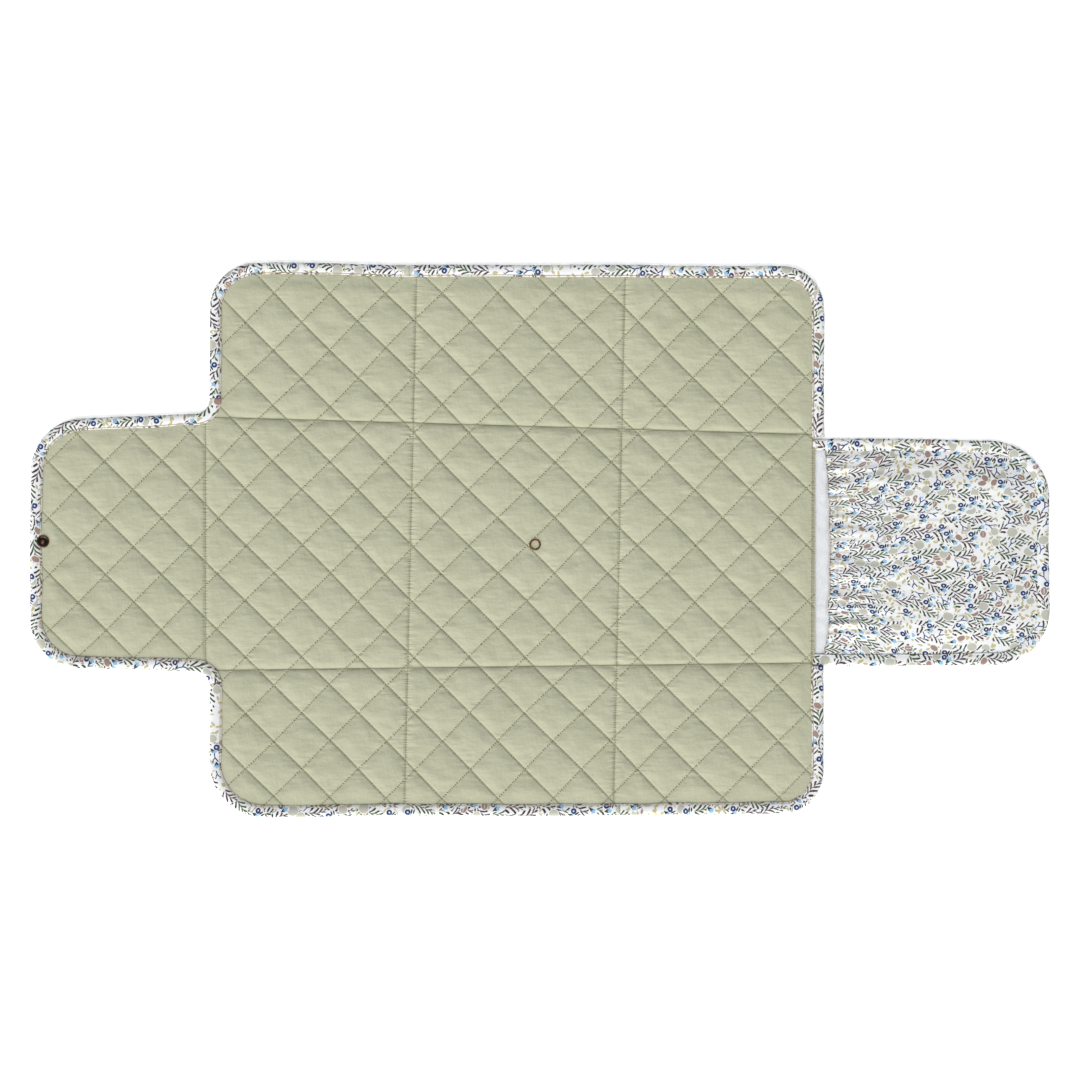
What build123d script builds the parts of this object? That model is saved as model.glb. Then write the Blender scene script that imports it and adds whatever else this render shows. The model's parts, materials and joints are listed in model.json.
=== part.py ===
"""Quilted fold-up changing pad: nine quilted panels, a closing flap and a gathered pocket.

The pad lies open and flat. +X runs from the closing flap to the pocket, +Y across the pad and
+Z up out of the lying surface. The origin is the centre of the pad's outline on the surface
that it lies on. All sizes are millimetres.

The cloth is one continuous quilt on the real pad. It is divided here at its fold lines, because
each panel swings as a rigid piece about the fold beside it.
"""

import os

from build123d import *

# --- overall outline ---------------------------------------------------------------------
PAD_LEFT = -460.0  # outer end of the closing flap
PAD_RIGHT = 460.0  # outer end of the pocket
PAD_WIDTH = 500.0
MAT_LEFT = -300.0
MAT_RIGHT = 257.0
MAT_CORNER_R = 42.0
FLAP_WIDTH = 231.0
FLAP_CORNER_R = 45.0
FLAP_ROOT_R = 13.0  # concave curve where the flap's edge meets the mat's
POCKET_TOP_Y = 93.0
POCKET_BOTTOM_Y = -113.0
POCKET_CORNER_R = 52.0

# --- fold lines ----------------------------------------------------------------------------
LEFT_FOLD_X = -117.0
RIGHT_FOLD_X = 72.0
POCKET_FOLD_X = 247.0
TOP_FOLD_Y = 104.0
BOTTOM_FOLD_Y = -114.0
FOLD_GAP = 0.3  # clear space left between two panels at a fold
CREASE_STRIP = 6.0  # width of the strips beside the column folds in the outer rows

# --- thicknesses ---------------------------------------------------------------------------
PAD_T = 6.0
CLOTH_T = 0.6
BINDING_W = 11.0
POCKET_H = 9.0  # gathered front above the lying surface
POCKET_BINDING_H = 2.6
POCKET_CLOTH_T = 0.8

# --- pocket mouth --------------------------------------------------------------------------
MOUTH_X = 260.0  # free edge of the gathered front
HEM_W = 8.0
ELASTIC_W = 6.0
ELASTIC_T = 1.0
CASING_CLEARANCE = 0.2  # added to the elastic's width and thickness inside its casing
CASING_END_CLEARANCE = 1.0
CROWN_TAPER = 45.0  # slope of the gathered front where it rises from the binding

# --- snap fastener -------------------------------------------------------------------------
STUD_CENTER = (-447.0, -1.0)
SOCKET_CENTER = (-4.5, -4.0)
SNAP_R = 5.25
CAP_R = 6.0
RECESS_R = 6.3  # pressed-in hollow of the quilt around each half of the snap
RECESS_TOP_Z = 4.2
RECESS_BOTTOM_Z = 1.4
RIVET_R = 1.5
RIVET_HOLE_R = 1.6
STUD_POST_R = 2.1
STUD_BASE_T = 0.6
STUD_RIM_W = 1.4
STUD_RIM_H = 1.2
SOCKET_BORE_R = 2.3
SOCKET_TUBE_R = 3.0
SOCKET_HOLE_R = 3.1
STUD_RIM_CHAMFER = 0.3
STUD_WAIST = 0.2  # undercut that the socket's spring grips
STUD_NOSE = 0.5  # chamfer at the stud's tip
CAP_EDGE_R = 0.8
SOCKET_EDGE_R = 0.4
RING_EDGE_R = 0.5

HALF_GAP = FOLD_GAP / 2
FAR = 600.0  # beyond every edge of the pad
NEAR = 1.0  # reach when corners are picked by position

# --- cells: the rectangle (x low, x high, y low, y high) that holds each panel -------------
left_column = (MAT_LEFT + HALF_GAP, LEFT_FOLD_X - HALF_GAP)
center_column = (LEFT_FOLD_X + HALF_GAP, RIGHT_FOLD_X - HALF_GAP)
right_column = (RIGHT_FOLD_X + HALF_GAP, POCKET_FOLD_X - HALF_GAP)
left_strip = (LEFT_FOLD_X - HALF_GAP - CREASE_STRIP, LEFT_FOLD_X - HALF_GAP)
right_strip = (RIGHT_FOLD_X + HALF_GAP, RIGHT_FOLD_X + HALF_GAP + CREASE_STRIP)
outer_left_column = (MAT_LEFT + HALF_GAP, left_strip[0] - FOLD_GAP)
outer_right_column = (right_strip[1] + FOLD_GAP, FAR)
top_row = (TOP_FOLD_Y + HALF_GAP, FAR)
middle_row = (BOTTOM_FOLD_Y + HALF_GAP, TOP_FOLD_Y - HALF_GAP)
bottom_row = (-FAR, BOTTOM_FOLD_Y - HALF_GAP)

bound_panels = {
    "top_left": outer_left_column + top_row,
    "top_center": center_column + top_row,
    "top_right": outer_right_column + top_row,
    "bottom_left": outer_left_column + bottom_row,
    "bottom_center": center_column + bottom_row,
    "bottom_right": outer_right_column + bottom_row,
}
plain_panels = {
    "middle_left": left_column + middle_row,
    "middle_right": right_column + middle_row,
}
center_cell = center_column + middle_row
crease_strips = {
    "top_left_crease_strip": left_strip + top_row,
    "top_right_crease_strip": right_strip + top_row,
    "bottom_left_crease_strip": left_strip + bottom_row,
    "bottom_right_crease_strip": right_strip + bottom_row,
}
flap_cell = (-FAR, MAT_LEFT - HALF_GAP, -FAR, FAR)
pocket_cell = (POCKET_FOLD_X + HALF_GAP, FAR, -FAR, FAR)

os.makedirs("parts", exist_ok=True)


# --- outlines ------------------------------------------------------------------------------
with BuildSketch() as pad_outline:
    with Locations(((MAT_LEFT + MAT_RIGHT) / 2, 0)):
        Rectangle(MAT_RIGHT - MAT_LEFT, PAD_WIDTH)
    with Locations((PAD_LEFT, 0)):
        Rectangle(MAT_LEFT - PAD_LEFT, FLAP_WIDTH, align=(Align.MIN, Align.CENTER))
    fillet(pad_outline.vertices().group_by(Axis.X)[0], FLAP_CORNER_R)
    fillet(pad_outline.vertices().group_by(Axis.Y)[0], MAT_CORNER_R)
    fillet(pad_outline.vertices().group_by(Axis.Y)[-1], MAT_CORNER_R)
    flap_root = pad_outline.vertices().filter_by_position(Axis.X, MAT_LEFT - NEAR, MAT_LEFT + NEAR)
    fillet(flap_root.filter_by_position(Axis.Y, -FLAP_WIDTH / 2 - NEAR, FLAP_WIDTH / 2 + NEAR), FLAP_ROOT_R)

with BuildSketch() as pocket_outline:
    with Locations((PAD_RIGHT, POCKET_BOTTOM_Y)):
        Rectangle(
            PAD_RIGHT - MAT_LEFT,
            POCKET_TOP_Y - POCKET_BOTTOM_Y,
            align=(Align.MAX, Align.MIN),
        )
    fillet(pocket_outline.vertices().group_by(Axis.X)[-1], POCKET_CORNER_R)


# --- building steps ------------------------------------------------------------------------
def inset_face(outline, inset):
    """The outline's face, drawn in by inset on every side."""
    with BuildSketch() as face:
        add(outline.sketch)
        if inset > 0:
            offset(amount=-inset, kind=Kind.ARC, mode=Mode.REPLACE)
    return face.sketch


def cell_face(outline, cell, inset, z_low):
    """The part of an inset outline that lies in one cell, at height z_low."""
    x_low, x_high, y_low, y_high = cell
    with BuildSketch(Plane.XY.offset(z_low)) as face:
        add(inset_face(outline, inset))
        with Locations((x_low, y_low)):
            Rectangle(x_high - x_low, y_high - y_low, align=Align.MIN, mode=Mode.INTERSECT)
    return face.sketch


def rim_face(outline, cell):
    """The strip inside an outline's edge that the binding covers, in one cell."""
    x_low, x_high, y_low, y_high = cell
    with BuildSketch() as face:
        add(outline.sketch)
        add(inset_face(outline, BINDING_W), mode=Mode.SUBTRACT)
        with Locations((x_low, y_low)):
            Rectangle(x_high - x_low, y_high - y_low, align=Align.MIN, mode=Mode.INTERSECT)
    return face.sketch


def slab(outline, cell, inset, z_low, z_high, mode=Mode.ADD):
    """Extrude the part of an inset outline that lies in a cell."""
    extrude(cell_face(outline, cell, inset, z_low), amount=z_high - z_low, mode=mode)


def channel(outline, cell, height):
    """Folded binding strip: a C-shaped channel round the edge of an outline."""
    extrude(rim_face(outline, cell), amount=height)
    slab(outline, cell, CLOTH_T, CLOTH_T, height - CLOTH_T, mode=Mode.SUBTRACT)


def snap_clearance(center, rivet_hole_r):
    """Cut the pressed-in hollows above and below one half of the snap, and its rivet hole."""
    x, y = center
    depth_above = PAD_T - RECESS_TOP_Z
    with Locations((x, y, PAD_T - depth_above / 2)):
        Cylinder(RECESS_R, depth_above, mode=Mode.SUBTRACT)
    with Locations((x, y, RECESS_BOTTOM_Z / 2)):
        Cylinder(RECESS_R, RECESS_BOTTOM_Z, mode=Mode.SUBTRACT)
    with Locations((x, y, PAD_T / 2)):
        Cylinder(rivet_hole_r, PAD_T, mode=Mode.SUBTRACT)


def save(piece, label):
    """Name a finished piece and write its file."""
    piece.part.label = label
    export_step(piece.part, f"parts/{label}.step")


def quilt_layers(panel, cell, edge_inset, snap=None):
    """Face cloth, batting and back cloth of one quilted panel."""
    batting_inset = CLOTH_T if edge_inset else 0
    layers = {
        "back_cloth": (edge_inset, 0, CLOTH_T),
        "batting": (batting_inset, CLOTH_T, PAD_T - CLOTH_T),
        "face_cloth": (edge_inset, PAD_T - CLOTH_T, PAD_T),
    }
    for layer, (inset, z_low, z_high) in layers.items():
        with BuildPart() as piece:
            slab(pad_outline, cell, inset, z_low, z_high)
            if snap:
                snap_clearance(*snap)
        save(piece, f"{panel}_{layer}")


# --- quilted panels and their bindings -----------------------------------------------------
for panel, cell in bound_panels.items():
    quilt_layers(panel, cell, BINDING_W)
    with BuildPart() as binding:
        channel(pad_outline, cell, PAD_T)
    save(binding, f"{panel}_binding")

for panel, cell in plain_panels.items():
    quilt_layers(panel, cell, 0)

quilt_layers("middle_center", center_cell, 0, snap=(SOCKET_CENTER, SOCKET_HOLE_R))
quilt_layers("flap", flap_cell, BINDING_W, snap=(STUD_CENTER, RIVET_HOLE_R))

with BuildPart() as flap_binding:
    channel(pad_outline, flap_cell, PAD_T)
    snap_clearance(STUD_CENTER, RIVET_HOLE_R)
save(flap_binding, "flap_binding")

for strip, cell in crease_strips.items():
    with BuildPart() as crease:
        slab(pad_outline, cell, 0, 0, PAD_T)
    save(crease, strip)


# --- pocket ----------------------------------------------------------------------------------
lining_top = 2 * CLOTH_T
flange_top = lining_top + POCKET_CLOTH_T

with BuildPart() as pocket_back_cloth:
    slab(pocket_outline, pocket_cell, BINDING_W, 0, CLOTH_T)
save(pocket_back_cloth, "pocket_back_cloth")

with BuildPart() as pocket_lining:
    slab(pocket_outline, pocket_cell, CLOTH_T, CLOTH_T, lining_top)
save(pocket_lining, "pocket_lining")

with BuildPart() as pocket_binding:
    channel(pocket_outline, pocket_cell, POCKET_BINDING_H)
save(pocket_binding, "pocket_binding")

# The gathered front rises from a flange in the binding to a flat crown, hollow beneath, and
# its mouth faces the mat. The elastic lies in a casing under the crown's free edge.
crown_h = POCKET_H - lining_top
cavity_h = crown_h - POCKET_CLOTH_T
crown_top_inset = BINDING_W + crown_h
casing_z = POCKET_H - POCKET_CLOTH_T - ELASTIC_T / 2
casing_y = (POCKET_TOP_Y + POCKET_BOTTOM_Y) / 2
elastic_x = MOUTH_X + HEM_W / 2
elastic_length = POCKET_TOP_Y - POCKET_BOTTOM_Y - 2 * crown_top_inset

with BuildPart() as pocket_front_cloth:
    slab(pocket_outline, pocket_cell, CLOTH_T, lining_top, flange_top)
    with BuildSketch(Plane.XY.offset(lining_top)):
        add(inset_face(pocket_outline, BINDING_W))
    extrude(amount=crown_h, taper=CROWN_TAPER)
    with BuildSketch(Plane.XY.offset(lining_top)):
        add(inset_face(pocket_outline, BINDING_W + POCKET_CLOTH_T))
    extrude(amount=cavity_h, taper=CROWN_TAPER, mode=Mode.SUBTRACT)
    with Locations((elastic_x, casing_y, casing_z)):
        Box(HEM_W, elastic_length, ELASTIC_T + 2 * CLOTH_T)
        Box(
            ELASTIC_W + CASING_CLEARANCE,
            elastic_length + CASING_END_CLEARANCE,
            ELASTIC_T + CASING_CLEARANCE,
            mode=Mode.SUBTRACT,
        )
    split(bisect_by=Plane.YZ.offset(MOUTH_X), keep=Keep.TOP)
save(pocket_front_cloth, "pocket_front_cloth")

with BuildPart() as pocket_elastic:
    with Locations((elastic_x, casing_y, casing_z)):
        Box(ELASTIC_W, elastic_length, ELASTIC_T)
save(pocket_elastic, "pocket_elastic")


# --- snap fastener ---------------------------------------------------------------------------
# Stud half on the flap: the stud shows on the quilted face, its cap is riveted from below.
stud_section = Plane(origin=(*STUD_CENTER, RECESS_TOP_Z), x_dir=(1, 0, 0), z_dir=(0, -1, 0))
stud_h = PAD_T - RECESS_TOP_Z

with BuildPart() as snap_stud:
    with BuildSketch(stud_section):
        with BuildLine():
            Polyline(
                (0, 0),
                (SNAP_R, 0),
                (SNAP_R, STUD_RIM_H - STUD_RIM_CHAMFER),
                (SNAP_R - STUD_RIM_W / 2, STUD_RIM_H),
                (SNAP_R - STUD_RIM_W, STUD_BASE_T),
                (STUD_POST_R - STUD_WAIST, STUD_BASE_T),
                (STUD_POST_R, stud_h - STUD_NOSE),
                (STUD_POST_R - STUD_NOSE, stud_h),
                (0, stud_h),
                close=True,
            )
        make_face()
    revolve(axis=Axis((*STUD_CENTER, 0), (0, 0, 1)))
save(snap_stud, "snap_stud")

with BuildPart() as snap_cap:
    with Locations((*STUD_CENTER, RECESS_BOTTOM_Z / 2)):
        Cylinder(CAP_R, RECESS_BOTTOM_Z)
    fillet(snap_cap.edges().group_by(Axis.Z)[0], CAP_EDGE_R)
    with Locations((*STUD_CENTER, (RECESS_BOTTOM_Z + RECESS_TOP_Z) / 2)):
        Cylinder(RIVET_R, RECESS_TOP_Z - RECESS_BOTTOM_Z)
save(snap_cap, "snap_cap")

# Socket half on the middle panel: the socket opens downwards, its prong ring shows on the face.
with BuildPart() as snap_socket:
    with Locations((*SOCKET_CENTER, RECESS_BOTTOM_Z / 2)):
        Cylinder(CAP_R, RECESS_BOTTOM_Z)
    fillet(snap_socket.edges().group_by(Axis.Z)[0], SOCKET_EDGE_R)
    with Locations((*SOCKET_CENTER, (RECESS_BOTTOM_Z + RECESS_TOP_Z) / 2)):
        Cylinder(SOCKET_TUBE_R, RECESS_TOP_Z - RECESS_BOTTOM_Z)
    with Locations((*SOCKET_CENTER, RECESS_TOP_Z / 2)):
        Cylinder(SOCKET_BORE_R, RECESS_TOP_Z, mode=Mode.SUBTRACT)
save(snap_socket, "snap_socket")

with BuildPart() as snap_ring:
    with Locations((*SOCKET_CENTER, (RECESS_TOP_Z + PAD_T - CLOTH_T) / 2)):
        Cylinder(SNAP_R, PAD_T - CLOTH_T - RECESS_TOP_Z)
        Cylinder(SOCKET_TUBE_R, PAD_T, mode=Mode.SUBTRACT)
    fillet(snap_ring.edges().group_by(Axis.Z)[-1], RING_EDGE_R)
save(snap_ring, "snap_ring")
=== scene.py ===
import json
import math

import bpy
import numpy as np
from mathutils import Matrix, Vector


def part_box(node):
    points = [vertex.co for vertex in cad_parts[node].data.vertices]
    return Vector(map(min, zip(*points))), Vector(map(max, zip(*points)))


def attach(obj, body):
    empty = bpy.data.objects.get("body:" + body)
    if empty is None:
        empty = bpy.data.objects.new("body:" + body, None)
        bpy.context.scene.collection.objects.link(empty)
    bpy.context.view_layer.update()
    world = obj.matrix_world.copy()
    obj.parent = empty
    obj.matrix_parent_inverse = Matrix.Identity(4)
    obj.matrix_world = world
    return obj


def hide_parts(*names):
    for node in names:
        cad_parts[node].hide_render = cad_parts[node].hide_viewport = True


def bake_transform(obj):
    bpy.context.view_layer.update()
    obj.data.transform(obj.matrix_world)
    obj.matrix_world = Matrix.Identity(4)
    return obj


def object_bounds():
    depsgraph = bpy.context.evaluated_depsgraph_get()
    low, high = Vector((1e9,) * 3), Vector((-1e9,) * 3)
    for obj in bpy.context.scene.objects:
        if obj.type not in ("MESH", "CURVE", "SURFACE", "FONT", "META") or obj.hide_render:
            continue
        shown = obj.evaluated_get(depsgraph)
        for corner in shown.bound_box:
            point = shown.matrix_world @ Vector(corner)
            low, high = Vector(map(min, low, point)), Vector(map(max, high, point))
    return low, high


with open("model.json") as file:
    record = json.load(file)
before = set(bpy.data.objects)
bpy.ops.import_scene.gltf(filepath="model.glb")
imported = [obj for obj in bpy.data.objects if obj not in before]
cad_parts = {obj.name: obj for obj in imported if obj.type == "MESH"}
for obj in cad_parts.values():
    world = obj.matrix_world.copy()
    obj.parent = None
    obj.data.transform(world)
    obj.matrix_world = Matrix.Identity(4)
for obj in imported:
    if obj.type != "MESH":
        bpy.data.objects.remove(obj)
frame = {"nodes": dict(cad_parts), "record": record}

cad_low, cad_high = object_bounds()
scene = bpy.context.scene
MM = 0.001


def add_object(name, data):
    obj = bpy.data.objects.new(name, data)
    scene.collection.objects.link(obj)
    return obj


def node_box(node):
    """A CAD node's corners at rest, in millimetres."""
    low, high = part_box(node)
    return [c * 1000 for c in low], [c * 1000 for c in high]


# --- places taken from the CAD frame ---
hinge = {j["name"]: [c * 1000 for c in j["pos_m"]] for j in frame["record"]["behaviour"]["joints"]}
LEFT_X, RIGHT_X, FLAP_X, POCKET_X = (hinge[f"fold_{k}"][0] for k in ("left", "right", "flap", "pocket"))
TOP_Y, BOTTOM_Y = hinge["fold_top"][1], hinge["fold_bottom"][1]
PAD_LEFT, PAD_BOTTOM = cad_low[0] * 1000, cad_low[1] * 1000
PAD_RIGHT, PAD_TOP = cad_high[0] * 1000, cad_high[1] * 1000
MAT_RIGHT = node_box("top_right_binding")[1][0]
FLAP_TOP = 115.5
POCKET_BOTTOM, POCKET_TOP = (corner[1] for corner in node_box("pocket_binding"))
STUD, RING = (
    [(low + high) / 2 for low, high in zip(*node_box(node))][:2] for node in ("snap_stud", "snap_ring")
)

# length of cloth that turns at each fold, measured from the hinge into the moving panel
TURN = {"left": 13.0, "right": 16.0, "top": 10.0, "bottom": 12.0, "flap": 11.0, "pocket": 15.0}
BINDING_FACE = 9.8  # face of the binding that shows
UNDER_BINDING = 4.0  # the quilt ends this far inside the outline, within the folded binding
QUILT_PITCH = 50.4  # corner to corner of a diamond
LINE_GAP = QUILT_PITCH / math.sqrt(2)
P0 = 184.8 / math.sqrt(2)  # one line of each family, as (x + y) / sqrt 2 and (y - x) / sqrt 2
Q0 = 260.4 / math.sqrt(2)
SNAP_Z = 4.25  # face cloth under the snap's two halves
STUD_SEAT_Z = 4.2  # binding under the rim of the stud
PRINT_WRAP = 977  # a run of binding starts its print this far round at most
VALLEY_Z = 3.25  # face cloth along a quilting line
FACE_LIFT = 2.75  # how far a full puff stands above the quilting line
EDGE_Z = 3.7  # face cloth where it goes under the binding


def fold_lines(x, y):
    """Distances from the five fold lines pressed in by use, which run a little off square."""
    return {
        "left": x - (LEFT_X + 0.7 + 0.0228 * y),
        "right": x - (RIGHT_X - 0.5 + 0.022 * y),
        "top": y - (TOP_Y - 1.6 - 0.0287 * x),
        "bottom": y - (BOTTOM_Y + 0.8 + 0.0126 * x),
        "flap": x - (FLAP_X - 0.8),
        "pocket": x - (POCKET_X - 1.0 + 0.005 * y),
    }


# --- smooth sampling of a grid ---
def sample(grid, u, v):
    """Catmull-Rom value of a grid at fractional indices u, v."""
    i = np.clip(np.floor(u).astype(int), 1, grid.shape[0] - 3)
    j = np.clip(np.floor(v).astype(int), 1, grid.shape[1] - 3)
    a = np.clip(u - i, 0, 1)
    b = np.clip(v - j, 0, 1)

    def weights(t):
        return (
            (-t + 2 * t**2 - t**3) / 2,
            (2 - 5 * t**2 + 3 * t**3) / 2,
            (t + 4 * t**2 - 3 * t**3) / 2,
            (-(t**2) + t**3) / 2,
        )

    wa, wb = weights(a), weights(b)
    total = np.zeros(np.shape(u))
    for m in range(4):
        row = np.zeros(np.shape(u))
        for n in range(4):
            row += wb[n] * grid[i + m - 1, j + n - 1]
        total += wa[m] * row
    return total


rng = np.random.default_rng(11)
noise_grid = rng.uniform(-1, 1, (257, 257))


def noise(x, y, size_x, size_y, shift=0.0):
    """Smooth noise from about -1 to 1 with features of the given sizes."""
    return sample(noise_grid, (x / size_x + 127 + shift) % 250 + 2, (y / size_y + 127 + 3 * shift) % 250 + 2)


def smooth(t):
    t = np.clip(t, 0, 1)
    return t * t * (3 - 2 * t)


def bell(t, width):
    return np.exp(-((t / width) ** 2))


def soft_floor(z, floor_z, ease):
    """Heights kept above a floor, eased where they meet it."""
    return floor_z + 0.5 * (z - floor_z + np.sqrt((z - floor_z) ** 2 + ease))


def unit(v):
    return v / np.linalg.norm(v, axis=-1, keepdims=True)


def run_length(path):
    """Distance along a path at each of its points."""
    return np.concatenate([[0], np.cumsum(np.linalg.norm(np.diff(path, axis=0), axis=1))])


# --- outlines ---
PATH_STEP = 1.6


def rounded_path(corners, closed=True):
    """Points along straight edges joined by arcs. corners are (x, y, radius)."""
    pts = [np.array(c[:2], float) for c in corners]
    n = len(pts)
    out = []
    for k in range(n):
        if not closed and k in (0, n - 1):
            out.append(pts[k][None])
            continue
        a, b, c = pts[k - 1], pts[k], pts[(k + 1) % n]
        r = corners[k][2]
        u, w = unit(a - b), unit(c - b)
        half = math.acos(float(np.clip(u @ w, -1, 1))) / 2
        reach = r / math.tan(half)
        start, end = b + u * reach, b + w * reach
        centre = b + unit(u + w) * r / math.sin(half)
        a0 = math.atan2(*(start - centre)[::-1])
        turn = (math.atan2(*(end - centre)[::-1]) - a0 + math.pi) % (2 * math.pi) - math.pi
        t = np.linspace(0, 1, max(4, int(abs(turn) * r / PATH_STEP)))
        out.append(centre + r * np.stack([np.cos(a0 + turn * t), np.sin(a0 + turn * t)], 1))
    path = np.concatenate(out)
    if closed:
        path = np.concatenate([path, path[:1]])
    return path


def resample(path, step, cuts=()):
    """Even points along a path, with extra points exactly where it crosses the cuts."""
    keep = [0.0]
    length = run_length(path)
    marks = []
    for axis, value in cuts:
        side = path[:, axis] - value
        for k in np.nonzero(side[:-1] * side[1:] < 0)[0]:
            marks.append(length[k] + (length[k + 1] - length[k]) * side[k] / (side[k] - side[k + 1]))
    for low, high in zip(sorted([0, *marks]), sorted([*marks, length[-1]])):
        count = max(1, int(round((high - low) / step)))
        keep += list(low + (high - low) * (np.arange(count) + 1) / count)
    s = np.array(keep)
    return np.stack([np.interp(s, length, path[:, k]) for k in (0, 1)], 1), s


SEWN_IN = 1.0  # the binding's soft bulges reach this far beyond its path
mat_corners = [
    (MAT_RIGHT - 2.5, PAD_BOTTOM + 4.5, 38),
    (MAT_RIGHT - SEWN_IN, PAD_TOP - 3.5, 40),
    (FLAP_X + 3.5, PAD_TOP - SEWN_IN, 40),
    (FLAP_X + 3.0, FLAP_TOP - 1.5, 13),
    (PAD_LEFT + 2.5, FLAP_TOP - 9.0, 47),
    (PAD_LEFT + SEWN_IN, -FLAP_TOP + 1.5, 45),
    (FLAP_X + 3.0, -FLAP_TOP - 2.0, 13),
    (FLAP_X + 3.5, PAD_BOTTOM + SEWN_IN, 50),
]
pocket_corners = [
    (FLAP_X, POCKET_BOTTOM, 0),
    (PAD_RIGHT - SEWN_IN, POCKET_BOTTOM + 0.5, 50),
    (PAD_RIGHT - 2.5, POCKET_TOP - 3.5, 54),
    (FLAP_X, POCKET_TOP + 1.5, 0),
]


def wander(path):
    """A cut and sewn edge is never quite straight."""
    x, y = path.T
    return path + np.stack([noise(x, y, 70, 70, 5) * 0.9, noise(x, y, 70, 70, 9) * 0.9], 1)


pad_path = wander(resample(rounded_path(mat_corners), 2.0)[0])
pad_path[-1] = pad_path[0]
pocket_path = wander(resample(rounded_path(pocket_corners, closed=False), 2.0)[0])


TABLE_STEP = 2.0


def edge_distance(path):
    """A function of x and y for the distance inside an outline, read from a table made once."""
    x0, y0 = path.min(0) - 12
    nx, ny = ((path.max(0) + 12 - (x0, y0)) / TABLE_STEP).astype(int) + 4
    across, up = x0 + np.arange(nx) * TABLE_STEP, y0 + np.arange(ny) * TABLE_STEP
    gx, gy = np.meshgrid(across, up, indexing="ij")
    best = np.full(gx.shape, 1e9)
    inside = np.zeros(gx.shape, bool)
    for a, b in zip(path[:-1], path[1:]):
        d = b - a
        t = np.clip(((gx - a[0]) * d[0] + (gy - a[1]) * d[1]) / max(d @ d, 1e-12), 0, 1)
        best = np.minimum(best, (gx - a[0] - t * d[0]) ** 2 + (gy - a[1] - t * d[1]) ** 2)
        if a[1] != b[1]:
            hit = (a[1] > gy) != (b[1] > gy)
            inside ^= hit & (gx < a[0] + (gy - a[1]) * d[0] / d[1])
    grid = np.where(inside, np.sqrt(best), -np.sqrt(best))

    def distance(x, y):
        u = np.clip((x - x0) / TABLE_STEP, 1, nx - 3)
        v = np.clip((y - y0) / TABLE_STEP, 1, ny - 3)
        return sample(grid, u, v)

    return distance


pad_edge = edge_distance(pad_path)
pocket_edge = edge_distance(np.concatenate([pocket_path, pocket_path[:1]]))


def grid_faces(used):
    """Quads of the grid cells whose corners are all used. The used points are counted row by row."""
    index = -np.ones(used.shape, int)
    index[used] = np.arange(used.sum())
    corners = np.stack([index[:-1, :-1], index[1:, :-1], index[1:, 1:], index[:-1, 1:]], -1)
    return corners[(corners >= 0).all(-1)]


# --- quilted surface: cloth simulation between the stitched lines ---
CELLS = 12  # cloth faces along one side of a diamond
GRID_REACH = 460  # faces from the middle of the grid to its edge
SIMULATED_STEPS = 20


def quilt_puffs():
    """Height of the face cloth over its stitched lines, on a grid that runs along those lines."""
    h = LINE_GAP / CELLS
    k = np.arange(-GRID_REACH, GRID_REACH + 1)
    pk, qk = np.meshgrid(k, k, indexing="ij")
    p, q = P0 + pk * h, Q0 + qk * h
    x, y = (p - q) / math.sqrt(2), (p + q) / math.sqrt(2)
    used = pad_edge(x, y) > -2
    held = (pk % CELLS == 0) | (qk % CELLS == 0) | (pad_edge(x, y) < 8)
    for distance in fold_lines(x, y).values():
        held |= np.abs(distance) < 1.3
    u = np.minimum(pk % CELLS, CELLS - pk % CELLS) / CELLS * 2
    v = np.minimum(qk % CELLS, CELLS - qk % CELLS) / CELLS * 2
    dome = np.sqrt(np.clip(1 - (1 - u) ** 2.4, 0, 1) * np.clip(1 - (1 - v) ** 2.4, 0, 1))
    start = np.where(held, 0, 1.9 * dome + np.random.default_rng(4).uniform(0, 0.3, p.shape))
    co = np.stack([x[used], y[used], start[used]], 1) * MM
    mesh = bpy.data.meshes.new("cloth_work")
    mesh.from_pydata(co.tolist(), [], grid_faces(used).tolist())
    work = add_object("cloth_work", mesh)
    group = work.vertex_groups.new(name="held")
    group.add(np.nonzero(held[used])[0].tolist(), 1.0, "REPLACE")
    cloth = work.modifiers.new("Cloth", "CLOTH")
    settings = {
        "vertex_group_mass": "held", "quality": 4, "mass": 0.0006, "tension_stiffness": 20,
        "compression_stiffness": 20, "shear_stiffness": 8, "bending_stiffness": 0.5, "tension_damping": 8,
        "compression_damping": 8, "shear_damping": 8, "bending_damping": 0.5, "air_damping": 4,
        "shrink_min": -0.012,
    }
    for key, value in settings.items():
        setattr(cloth.settings, key, value)
    cloth.collision_settings.use_collision = False
    scene.gravity = (0, 0, 6)
    for step in range(1, SIMULATED_STEPS + 1):
        scene.frame_set(step)
    solved = work.evaluated_get(bpy.context.evaluated_depsgraph_get()).to_mesh()
    out = np.zeros(len(co) * 3)
    solved.vertices.foreach_get("co", out)
    scene.frame_set(1)
    bpy.data.objects.remove(work)
    bpy.data.meshes.remove(mesh)
    lift = np.zeros(used.shape)
    lift[used] = out.reshape(-1, 3)[:, 2] * 1000
    return lift


puff_grid = quilt_puffs()
for _ in range(2):
    soft = puff_grid.copy()
    soft[1:-1] = (puff_grid[:-2] + 2 * puff_grid[1:-1] + puff_grid[2:]) / 4
    puff_grid = soft.T
PUFF_FULL = float(np.percentile(puff_grid[puff_grid > 0.5], 95))


def lattice(x, y):
    """Distances along the two families of quilting lines, which wander a little."""
    p = (x + y) / math.sqrt(2) + noise(x, y, 62, 62, 101) * 1.3
    q = (y - x) / math.sqrt(2) + noise(x, y, 62, 62, 140) * 1.3
    return p, q


def puff(x, y):
    """Puff height as a share of a full one."""
    p, q = lattice(x, y)
    h = LINE_GAP / CELLS
    middle = puff_grid.shape[0] // 2
    return sample(puff_grid, (p - P0) / h + middle, (q - Q0) / h + middle) / PUFF_FULL


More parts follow.
